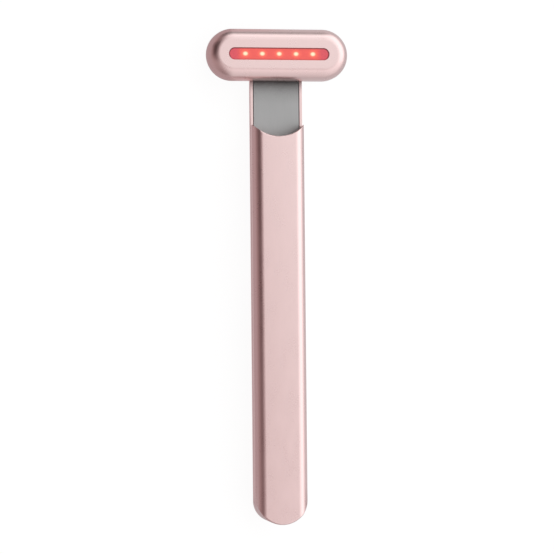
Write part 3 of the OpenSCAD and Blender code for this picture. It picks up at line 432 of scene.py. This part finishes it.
def light_window(wand):
    """Red translucent plastic with the lamps' glow painted on as emission, and painted shade in a dark line
    where it meets its slot.
    """
    constants = {"Roughness": 0.3, "Emission Strength": 1.0, "Coat Weight": 0.3, "Coat Roughness": 0.15}
    finish = Finish("window_red", constants)
    core, halo, rim, ends = window_masks(finish)
    streaks = finish.noise(size=0.7, detail=3, stretch=(1, 0.6, 1))
    finish.bump(streaks, depth=0.006)

    red = finish.shade(wand.window, streaks, amount=0.16)
    red = finish.mix(ends * 0.8, red, (*wand.window_end, 1))
    # Painted shade: the rim is darkened where the slot would shade it.
    rim_shade_red = (0.1, 0.01, 0.02, 1)
    finish.set("Base Color", finish.mix(rim * 0.8, red, rim_shade_red))

    # The lamps' glow is painted on as emission, with a bright core and a halo at each lamp, dimmer past the
    # last lamps.
    lit = finish.mix(streaks, (0.36, 0.04, 0.035, 1), (0.46, 0.06, 0.045, 1))
    dim = finish.mix(streaks, (0.16, 0.014, 0.026, 1), (0.38, 0.045, 0.055, 1))
    lit = finish.mix(ends, lit, dim)
    lit = finish.mix(halo * 0.4, lit, (*wand.halo, 1))
    lit = finish.mix(core, lit, (*wand.glow, 1))
    # Painted shade also darkens the painted glow along the rim.
    rim_shade_emission = (0.03, 0.0, 0.0, 1)
    finish.set("Emission Color", finish.mix(rim * 0.8, lit, rim_shade_emission))


def printed_board(name, colour):
    """A circuit board: solder mask over copper tracks."""
    finish = Finish(name, {"Roughness": 0.35, "Coat Weight": 0.4, "Coat Roughness": 0.2})
    x, y, _ = finish.place.parts()
    tracks = finish.math("FRACT", (x + finish.noise(size=3.5, detail=0) * 2.2) * 1.6).step(0.42, 0.5)
    crossing = finish.math("FRACT", (y + finish.noise(size=4.5, detail=0) * 2.6) * 1.1).step(0.62, 0.7)
    copper = finish.math("MAXIMUM", tracks, crossing)
    bright = tuple(min(1, c * 1.7 + 0.02) for c in colour)
    finish.set("Base Color", finish.mix(copper * 0.6, (*colour, 1), (*bright, 1)))
    finish.bump(copper, depth=0.03)


def insulation(name, colour):
    """The smooth skin of an insulated lead."""
    moulded(name, colour, 0.35, texture=0.6, depth=0.003, coat=0.2)


def crinkled_foil(name, colour):
    """The battery's pouch foil, slightly crinkled."""
    finish = Finish(name, {"Metallic": 1.0})
    folds = finish.noise(size=4, detail=3)
    dimples = finish.noise(size=0.5, detail=2)
    finish.set("Base Color", finish.shade(colour, folds, amount=0.08))
    finish.set("Roughness", 0.3 + dimples * 0.12)
    finish.bump(folds * 0.8 + dimples * 0.2, depth=0.12)


def pad_foam(name, colour):
    """The foam of the battery's pads, with small pores."""
    finish = Finish(name, {"Roughness": 0.9})
    cells = finish.add("ShaderNodeTexVoronoi", inputs={"Vector": finish.place, "Scale": 4.0})
    finish.set("Base Color", finish.shade(colour, cells, amount=0.25))
    finish.bump(cells.step(0.05, 0.5), depth=0.08)


def lamp_lens(name, colour):
    """Pale resin that glows with the light of its chip."""
    finish = Finish(name, {"Roughness": 0.15, "Coat Weight": 0.5, "Emission Strength": 1.0})
    mottle = finish.noise(size=0.4, detail=2)
    finish.set("Base Color", finish.shade(colour, mottle, amount=0.06))
    finish.set("Emission Color", finish.mix(mottle, (0.8, 0.5, 0.25, 1), (1.0, 0.7, 0.4, 1)))


def make_finishes(wand):
    """Makes one material for each of the record's material slots, under the slot's name."""
    rose_metal(wand)
    plate_steel(wand)
    moulded("back_cover_plastic", wand.back_cover, roughness=0.5)
    light_window(wand)
    moulded("dark_plastic", (0.022, 0.022, 0.024), roughness=0.45)
    moulded("white_plastic", (0.82, 0.82, 0.79), roughness=0.4, depth=0.004, coat=0.1)
    drawn_metal("steel", (0.55, 0.55, 0.56), roughness=0.32)
    drawn_metal("brass", (0.72, 0.5, 0.2), roughness=0.28)
    moulded("rubber", (0.06, 0.06, 0.065), roughness=0.7, texture=0.15)
    printed_board("board_green", (0.01, 0.11, 0.045))
    drawn_metal("copper", (0.72, 0.32, 0.16), roughness=0.3, stretch=(1, 1, 1))
    insulation("lead_amber", (0.6, 0.21, 0.02))
    insulation("lead_blue", (0.02, 0.02, 0.21))
    insulation("lead_red", (0.32, 0.01, 0.01))
    moulded("film_amber", (0.6, 0.21, 0.02), roughness=0.25, texture=0.8, depth=0.004, coat=0.5)
    crinkled_foil("cell_foil", (0.62, 0.63, 0.66))
    pad_foam("foam", (0.06, 0.06, 0.065))
    lamp_lens("lamp", (1.0, 0.86, 0.6))
    moulded("chip_black", (0.012, 0.012, 0.014), roughness=0.4, texture=0.12, depth=0.004)
    moulded("ferrite", (0.045, 0.045, 0.047), roughness=0.55, texture=0.3)


SLOT_OF = {row["node"]: row["material_slot"] for row in frame["record"]["subparts"]}
BODY_OF = {node: body for body, nodes in frame["record"]["behaviour"]["bodies"].items() for node in nodes}


def finish_of(slot):
    """The material of one of the record's slots."""
    # Until the finishes are made, a slot's name may belong to a plain CAD material without nodes.
    if slot not in bpy.data.materials or not bpy.data.materials[slot].use_nodes:
        raise RuntimeError(f"there is no finish for {slot}: run wand.finishes first")
    return bpy.data.materials[slot]


def merged(node):
    """A CAD node's mesh as a bmesh, with its loose triangles merged and its flat faces joined."""
    shape = bmesh.new()
    shape.from_mesh(frame["nodes"][node].data)
    flat = math.radians(0.3)
    bmesh.ops.remove_doubles(shape, verts=shape.verts, dist=TOUCH)
    bmesh.ops.dissolve_limit(shape, angle_limit=flat, verts=shape.verts, edges=shape.edges)
    return shape


def islands(shape):
    """The vertices of each separate solid of a shape."""
    left = set(shape.verts)
    groups = []
    while left:
        found = set()
        waiting = [left.pop()]
        while waiting:
            vert = waiting.pop()
            found.add(vert)
            near = {edge.other_vert(vert) for edge in vert.link_edges} & left
            left -= near
            waiting.extend(near)
        groups.append(found)
    return groups


def box_of(points):
    """The lowest and highest corner of some points."""
    return tuple(Vector(pick(point[i] for point in points) for i in range(3)) for pick in (min, max))


def solids(node):
    """The box of each separate solid of a CAD node, as (low, high) corners, in order from the left."""
    shape = merged(node)
    boxes = [box_of([vert.co for vert in group]) for group in islands(shape)]
    shape.free()
    return sorted(boxes, key=lambda box: tuple(box[0]))


def end_box(node, axis, side):
    """The box of a CAD node's flat end, towards the high side (1) or the low side (-1) of an axis."""
    points = [vert.co for vert in frame["nodes"][node].data.vertices]
    end = max(side * point[axis] for point in points)
    return box_of([point for point in points if side * point[axis] > end - TOUCH])


def place_piece(piece, node):
    """Links a finished piece, gives it its node's material and lets it stand for that node."""
    bpy.context.scene.collection.objects.link(piece)
    slot = SLOT_OF[node]
    piece.data.materials.clear()
    piece.data.materials.append(finish_of(slot))
    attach(piece, BODY_OF[node])
    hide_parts(node)


def crown(shape, drop, strips=10):
    """Bows the flat front of a shape, which falls by drop from its middle to where its sides turn down."""
    top = max(vert.co.z for vert in shape.verts)
    run = max(vert.co.x for vert in shape.verts if vert.co.z > top - TOUCH)
    side = max(vert.co.x for vert in shape.verts)
    for i in range(1, strips):
        cut = {"plane_co": (run * (2 * i / strips - 1), 0, 0), "plane_no": (1, 0, 0)}
        bmesh.ops.bisect_plane(shape, geom=shape.verts[:] + shape.edges[:] + shape.faces[:], **cut)
    # The bow fades out down the sides.
    for vert in shape.verts:
        nearness = max(0, 1 - (top - vert.co.z) / (side - run))
        vert.co.z -= drop * (vert.co.x / run) ** 2 * nearness


def shade_smooth(shape):
    """Shades a shape smoothly, apart from its sharp edges."""
    for face in shape.faces:
        face.smooth = True
    for edge in shape.edges:
        edge.smooth = edge.is_manifold and edge.calc_face_angle(math.pi) < SHARP


def loose_piece(shape, name):
    """A piece made of a shape, for a layout to copy."""
    shade_smooth(shape)
    mesh = bpy.data.meshes.new(name)
    shape.to_mesh(mesh)
    shape.free()
    piece = bpy.data.objects.new(name, mesh)
    bpy.context.scene.collection.objects.link(piece)
    return piece


def first_solid(node):
    """A CAD node's leftmost solid, moved so that the foot of its middle is at the origin."""
    shape = merged(node)
    groups = sorted(islands(shape), key=lambda group: tuple(box_of([vert.co for vert in group])[0]))
    bmesh.ops.delete(shape, geom=[vert for group in groups[1:] for vert in group], context="VERTS")
    bmesh.ops.translate(shape, vec=-foot_of(box_of([vert.co for vert in shape.verts])), verts=shape.verts)
    return shape


def foot_of(box):
    """The middle of the lowest side of a box."""
    low, high = box
    return Vector(((low.x + high.x) / 2, (low.y + high.y) / 2, low.z))


def block(shape, low, high, bevel):
    """Adds a block with bevelled edges to a shape, and gives its top face."""
    place = Matrix.Translation((low + high) / 2) @ Matrix.Diagonal((*(high - low), 1))
    made = set(bmesh.ops.create_cube(shape, size=1, matrix=place)["verts"])
    edges = [edge for edge in shape.edges if edge.verts[0] in made]
    bmesh.ops.bevel(shape, geom=edges, offset=bevel, segments=2, affect="EDGES", clamp_overlap=True)
    shape.faces.ensure_lookup_table()
    return max(shape.faces, key=lambda face: (round(face.calc_center_median().z, 7), face.calc_area()))


def soften(node, name, width, crown_drop=0):
    """Replaces a CAD node by a copy with rounded edges, whose flat front is bowed by crown_drop."""
    shape = merged(node)
    if crown_drop:
        crown(shape, crown_drop)
    shade_smooth(shape)
    mesh = bpy.data.meshes.new(name)
    shape.to_mesh(mesh)
    shape.free()
    piece = bpy.data.objects.new(name, mesh)
    bevel = piece.modifiers.new("Edge rounding", "BEVEL")
    bevel.limit_method = "ANGLE"
    bevel.angle_limit = SHARP
    bevel.width = width
    bevel.segments = 3
    bevel.use_clamp_overlap = False
    normals = piece.modifiers.new("Even shading", "WEIGHTED_NORMAL")
    normals.keep_sharp = False
    normals.weight = 100
    place_piece(piece, node)


class WAND_OT_finishes(bpy.types.Operator):
    """Makes the material of each finish on the wand"""

    bl_idname = "wand.finishes"
    bl_label = "Finishes"

    def execute(self, context):
        # The materials already there make way, because a finish has the name of its slot.
        for material in list(bpy.data.materials):
            material.name = "cad_" + material.name
        make_finishes(context.scene.wand_finish)
        return {"FINISHED"}


class WAND_OT_shells(bpy.types.Operator):
    """Rounds the fine edges of the three rose metal shells"""

    bl_idname = "wand.shells"
    bl_label = "Shells"

    def execute(self, context):
        wand = context.scene.wand_finish
        soften("rear_shell", "handle_rear_shell", wand.edge_round)
        soften("front_cover", "handle_front_cover", wand.rim_round, crown_drop=wand.crown)
        soften("head_shell", "head_front_shell", wand.edge_round)
        return {"FINISHED"}


class WAND_OT_plates(bpy.types.Operator):
    """Rounds the edges of the neck plate and of the head's back cover"""

    bl_idname = "wand.plates"
    bl_label = "Plates"

    def execute(self, context):
        wand = context.scene.wand_finish
        soften("neck_plate", "neck_slide_plate", wand.plate_round)
        soften("head_back_cover", "head_rear_cover", wand.edge_round)
        return {"FINISHED"}


class WAND_OT_window(bpy.types.Operator):
    """Rounds the edge of the light window"""

    bl_idname = "wand.window"
    bl_label = "Light window"

    def execute(self, context):
        soften("light_window", "head_light_window", context.scene.wand_finish.edge_round)
        return {"FINISHED"}


class WAND_OT_port(bpy.types.Operator):
    """Rounds the edges of the charging port"""

    bl_idname = "wand.port"
    bl_label = "Charging port"

    def execute(self, context):
        width = context.scene.wand_finish.edge_round
        soften("port_bezel", "port_surround", width)
        soften("charging_socket", "port_socket", width / 2)
        return {"FINISHED"}


class WAND_OT_contacts(bpy.types.Operator):
    """Sets the row of contacts into both faces of the charging socket's tongue"""

    bl_idname = "wand.contacts"
    bl_label = "Contacts"

    def execute(self, context):
        wand = context.scene.wand_finish
        low, high = end_box("socket_tongue", 1, -1)
        middle = (low + high) / 2
        width = wand.contact_pitch * 0.54
        thickness = 0.06 * MM
        edge_round = 0.01 * MM
        set_back = 0.5 * MM
        half = Vector((width, wand.contact_length, thickness)) / 2
        shape = bmesh.new()
        for side in (low.z, high.z):
            centre = Vector((0, 0, side - middle.z))
            block(shape, centre - half, centre + half, edge_round)
        row_length = (wand.contact_count - 1) * wand.contact_pitch
        start = Vector((-row_length / 2, low.y + set_back + half.y, middle.z))
        settings = {"Count": wand.contact_count, "Pitch": wand.contact_pitch, "Start": start,
                    "Material": finish_of("brass")}
        points = bpy.data.meshes.new("contact_points")
        mesh = row_layout().make("port_contacts", points, loose_piece(shape, "contact_pair"), settings)
        piece = bpy.data.objects.new("port_contacts", mesh)
        bpy.context.scene.collection.objects.link(piece)
        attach(piece, BODY_OF["socket_tongue"])
        return {"FINISHED"}


class WAND_OT_lamps(bpy.types.Operator):
    """Sets the lamps under the window in a row, each a cupped body with a dome"""

    bl_idname = "wand.lamps"
    bl_label = "Lamps"

    def execute(self, context):
        edge_round = 0.08 * MM
        cup_wall = 0.25 * MM
        cup_slope = 0.2 * MM
        cup_depth = 0.3 * MM
        low, high = solids("led_packages")[0]
        size = high - low
        cupped = bmesh.new()
        foot = Vector((-size.x / 2, -size.y / 2, 0))
        top = block(cupped, foot, foot + size, edge_round)
        bmesh.ops.inset_individual(cupped, faces=[top], thickness=cup_wall)
        bmesh.ops.inset_individual(cupped, faces=[top], thickness=cup_slope)
        bmesh.ops.translate(cupped, vec=(0, 0, -cup_depth), verts=top.verts)
        self.row("led_packages", "lamp_bodies", cupped)
        self.row("led_domes", "lamp_domes", first_solid("led_domes"))
        return {"FINISHED"}

    def row(self, node, name, shape):
        """Replaces a CAD node by a row of one shape, with a copy at the foot of each of its solids."""
        feet = [foot_of(box) for box in solids(node)]
        settings = {"Count": len(feet), "Pitch": (feet[1] - feet[0]).x, "Start": feet[0],
                    "Material": finish_of(SLOT_OF[node])}
        points = bpy.data.meshes.new(name + "_points")
        mesh = row_layout().make(name, points, loose_piece(shape, name + "_one"), settings)
        place_piece(bpy.data.objects.new(name, mesh), node)


class WAND_OT_screws(bpy.types.Operator):
    """Sets each group of like screws, whose slots are left turned as a driver leaves them"""

    bl_idname = "wand.screws"
    bl_label = "Screws"

    def execute(self, context):
        for seed, node in enumerate(("head_screws", "plate_screws", "cover_screws")):
            points = bpy.data.meshes.new(node + "_points")
            points.from_pydata([tuple(foot_of(box)) for box in solids(node)], [], [])
            screw = loose_piece(first_solid(node), node + "_one")
            settings = {"Seed": seed, "Material": finish_of(SLOT_OF[node])}
            mesh = scatter_layout().make(node + "_set", points, screw, settings)
            place_piece(bpy.data.objects.new(node + "_set", mesh), node)
        return {"FINISHED"}


class WAND_OT_inner(bpy.types.Operator):
    """Gives every CAD piece that is shown as it is its finish"""

    bl_idname = "wand.inner"
    bl_label = "Inner pieces"

    def execute(self, context):
        for name, node in frame["nodes"].items():
            if not node.hide_render:
                for slot in node.material_slots:
                    slot.material = finish_of(SLOT_OF[name])
        return {"FINISHED"}


def make_camera(studio):
    """The camera, at the photograph's viewing angle."""
    level = math.cos(studio.elevation)
    rise = math.sin(studio.elevation)
    back = Vector((-math.sin(studio.azimuth) * level, rise, math.cos(studio.azimuth) * level))
    right = (-back).cross(Vector((0, 1, 0))).normalized()
    turn = Matrix.Rotation(studio.roll, 3, back)
    right = turn @ right
    up = back.cross(right)
    aim = Vector((0, 0, studio.target_z)) + right * studio.aim_right + up * studio.aim_up
    data = bpy.data.cameras.new("Camera")
    data.lens = studio.lens
    data.clip_start = 0.05
    data.clip_end = 20.0
    camera = bpy.data.objects.new("Camera", data)
    axes = Matrix((right, up, back)).transposed().to_4x4()
    camera.matrix_world = Matrix.Translation(aim + back * studio.distance) @ axes
    bpy.context.scene.collection.objects.link(camera)
    bpy.context.scene.camera = camera


FLOOR_GAP = 0.03 * MM
# How bright the floor glows to the camera, where 1 is white. The rest is light that it gets, less the shadow.
FLOOR_GLOW = 0.93
# The floor's colour as the metal mirrors it: left of the wand, along its left side, under and right of it,
# and past its lower end.
GLOW_LEFT = (0.5, 0.41, 0.42, 1)
GLOW_SIDE = (0.66, 0.56, 0.57, 1)
GLOW_RIGHT = (0.66, 0.66, 0.67, 1)
GLOW_END = (0.54, 0.49, 0.5, 1)


def make_floor(studio):
    """A plain pale floor that the wand lies on, white to the camera outside the wand's faint shadow."""
    half = studio.floor_size / 2
    mesh = bpy.data.meshes.new("floor")
    low = -FLOOR_GAP
    corners = [(-half, -half, low), (half, -half, low), (half, half, low), (-half, half, low)]
    mesh.from_pydata(corners, [], [(0, 1, 2, 3)])
    material = bpy.data.materials.new("floor")
    material.use_nodes = True
    tree = Tree(material.node_tree)
    shader = material.node_tree.nodes["Principled BSDF"]
    shader.inputs["Roughness"].default_value = 1.0
    shader.inputs["Specular IOR Level"].default_value = 0.0
    seen = tree.add("ShaderNodeLightPath", output="Is Camera Ray")
    mirrored = tree.add("ShaderNodeLightPath", output="Is Glossy Ray")
    through = tree.add("ShaderNodeLightPath", output="Is Transmission Ray")
    x, y, _ = tree.add("ShaderNodeTexCoord", output="Object").parts()
    glow = tree.mix(x.step(-14 * MM, -11 * MM), GLOW_LEFT, GLOW_SIDE)
    glow = tree.mix(x.step(-6 * MM, 12 * MM), glow, GLOW_RIGHT)
    glow = tree.mix(y.step(-82 * MM, -72 * MM), GLOW_END, glow)
    # The camera sees a floor that glows white and takes a faint shadow, metal and resin show the glow alone,
    # and all other light falls on pale grey.
    shown = tree.math("MAXIMUM", mirrored, through)
    matt = tree.mix(shown, (0.8, 0.8, 0.8, 1), (0, 0, 0, 1))
    tree.put(shader.inputs["Base Color"], tree.mix(seen, matt, (0.12, 0.12, 0.12, 1)))
    tree.put(shader.inputs["Emission Color"], tree.mix(seen, glow, (1, 1, 1, 1)))
    tree.put(shader.inputs["Emission Strength"], tree.math("MAXIMUM", seen * FLOOR_GLOW, shown))
    mesh.materials.append(material)
    floor = bpy.data.objects.new("floor", mesh)
    bpy.context.scene.collection.objects.link(floor)


# The light that the metal mirrors, round the wand's long axis. Each row has a direction in degrees to the
# right of straight up, the red of the light from there, and the share of it that green and blue have.
HEAD_SKY = (
    (-105, 0.48, 0.8), (-92, 0.46, 0.79), (-81, 0.44, 0.77), (-67, 0.28, 0.68),
    (-55, 0.06, 0.5), (-33, 0.04, 0.5), (-21, 0.12, 0.6), (-10, 0.56, 0.88),
    (0, 0.97, 0.98), (8, 1.1, 1.055), (16, 1.11, 1.06), (48, 1.15, 1.03),
    (64, 1.2, 1), (76, 1.12, 1), (86, 0.94, 0.98), (95, 0.76, 0.95),
)
MIDDLE_SKY = (
    (-105, 0.48, 0.8), (-88, 0.46, 0.78), (-75, 0.43, 0.76), (-62, 0.34, 0.7),
    (-50, 0.23, 0.64), (-36, 0.21, 0.64), (-24, 0.34, 0.73), (-10, 0.57, 0.85),
    (0, 0.615, 0.875), (10, 0.67, 0.89), (20, 0.8, 0.935), (36, 1.12, 1),
    (60, 1.22, 1), (76, 1.12, 0.99), (88, 0.92, 0.97), (95, 0.74, 0.95),
)
FOOT_SKY = (
    (-105, 0.48, 0.8), (-80, 0.5, 0.79), (-62, 0.47, 0.78), (-44, 0.45, 0.78),
    (-26, 0.48, 0.8), (-12, 0.66, 0.89), (0, 0.94, 0.97), (12, 1.08, 0.985),
    (30, 1.08, 0.985), (60, 1.08, 0.99), (80, 0.94, 0.97), (95, 0.74, 0.95),
)
# The middle of the bright bank of light, up and to the wand's right.
BANK_PLACE = Vector((0.8, 0.26, 0.5)).normalized()


def light_ramp(tree, turn, rows):
    """The light in a direction round the wand's long axis, from the rows of one of the skies."""
    stops = [(degrees / 360 + 0.5, (red, red * tint, red * tint, 1)) for degrees, red, tint in rows]
    return tree.add("ShaderNodeValToRGB", {"stops": stops}, {"Fac": turn})


def make_sky():
    """Soft studio light: a bright bank on the right, a dim fill on the left and a dark gap between them."""
    world = bpy.data.worlds.new("studio")
    bpy.context.scene.world = world
    world.use_nodes = True
    tree = Tree(world.node_tree)
    direction = tree.add("ShaderNodeTexCoord", output="Generated")
    x, y, z = direction.parts()
    turn = tree.math("ARCTAN2", x, z) / (2 * math.pi) + 0.5
    # Directions towards the wand's foot, its middle and its head each have a sky of their own.
    head, middle, foot = [light_ramp(tree, turn, rows) for rows in (HEAD_SKY, MIDDLE_SKY, FOOT_SKY)]
    light = tree.mix(y.step(-0.24, -0.1), foot, middle)
    light = tree.mix(y.step(-0.12, 0.14), light, head)
    # The sky past the head is darker on the left, so a dark crescent runs round the head's left end.
    dark_corner = y.step(0.36, 0.56) * (-x).step(0.1, 0.45) * z.step(-0.1, 0.15)
    light = tree.mix(dark_corner * 0.6, light, (0, 0, 0, 1))
    # The bank adds white light, and so does the sky past the head, which turns rose to its left.
    inputs = {0: direction, 1: BANK_PLACE}
    facing = tree.add("ShaderNodeVectorMath", {"operation": "DOT_PRODUCT"}, inputs, "Value")
    bank = facing.step(0.8, 0.98) * 0.36
    past_head = y.step(0.54, 0.7) * 0.28
    green_blue = bank + past_head * (1 - 0.28 * (-x).step(0.1, 0.4))
    added = tree.add("ShaderNodeCombineXYZ", inputs={0: bank + past_head, 1: green_blue, 2: green_blue})
    light = tree.vector("ADD", light, added)
    # Both ends of the sky are dimmed.
    level = 1 - 0.8 * y.step(0.78, 1.0) - 0.26 * (-y).step(0.3, 1.0)
    light = tree.add("ShaderNodeVectorMath", {"operation": "SCALE"}, {0: light, "Scale": level})
    seen = tree.add("ShaderNodeLightPath", output="Is Camera Ray")
    shown = tree.mix(seen, light, (1, 1, 1, 1))
    tree.put(world.node_tree.nodes["Background"].inputs["Color"], shown)


class WAND_OT_stage(bpy.types.Operator):
    """Sets up the floor, the studio light and the camera"""

    bl_idname = "wand.stage"
    bl_label = "Stage"

    def execute(self, context):
        studio = context.scene.wand_studio
        context.scene.view_settings.view_transform = "Standard"
        make_floor(studio)
        make_sky()
        make_camera(studio)
        return {"FINISHED"}


class WAND_PT_panel(bpy.types.Panel):
    """Lists the wand's settings and the steps that make it"""

    bl_idname = "WAND_PT_panel"
    bl_label = "Wand"
    bl_space_type = "VIEW_3D"
    bl_region_type = "UI"
    bl_category = "Wand"

    def draw(self, context):
        for settings in (context.scene.wand_finish, context.scene.wand_studio):
            for name in settings.__annotations__:
                self.layout.prop(settings, name)
        for step in STEPS:
            self.layout.operator(step.bl_idname)


STEPS = (WAND_OT_finishes, WAND_OT_shells, WAND_OT_plates, WAND_OT_window, WAND_OT_port, WAND_OT_contacts,
         WAND_OT_lamps, WAND_OT_screws, WAND_OT_inner, WAND_OT_stage)
CLASSES = (WandFinish, WandStudio, *STEPS, WAND_PT_panel)


def register():
    for cls in CLASSES:
        bpy.utils.register_class(cls)
    bpy.types.Scene.wand_finish = PointerProperty(type=WandFinish)
    bpy.types.Scene.wand_studio = PointerProperty(type=WandStudio)


def unregister():
    del bpy.types.Scene.wand_studio
    del bpy.types.Scene.wand_finish
    for cls in reversed(CLASSES):
        bpy.utils.unregister_class(cls)


def main():
    """Runs every step in order."""
    register()
    bpy.ops.wand.finishes()
    bpy.ops.wand.shells()
    bpy.ops.wand.plates()
    bpy.ops.wand.window()
    bpy.ops.wand.port()
    bpy.ops.wand.contacts()
    bpy.ops.wand.lamps()
    bpy.ops.wand.screws()
    bpy.ops.wand.inner()
    bpy.ops.wand.stage()


if __name__ == "__main__":
    main()
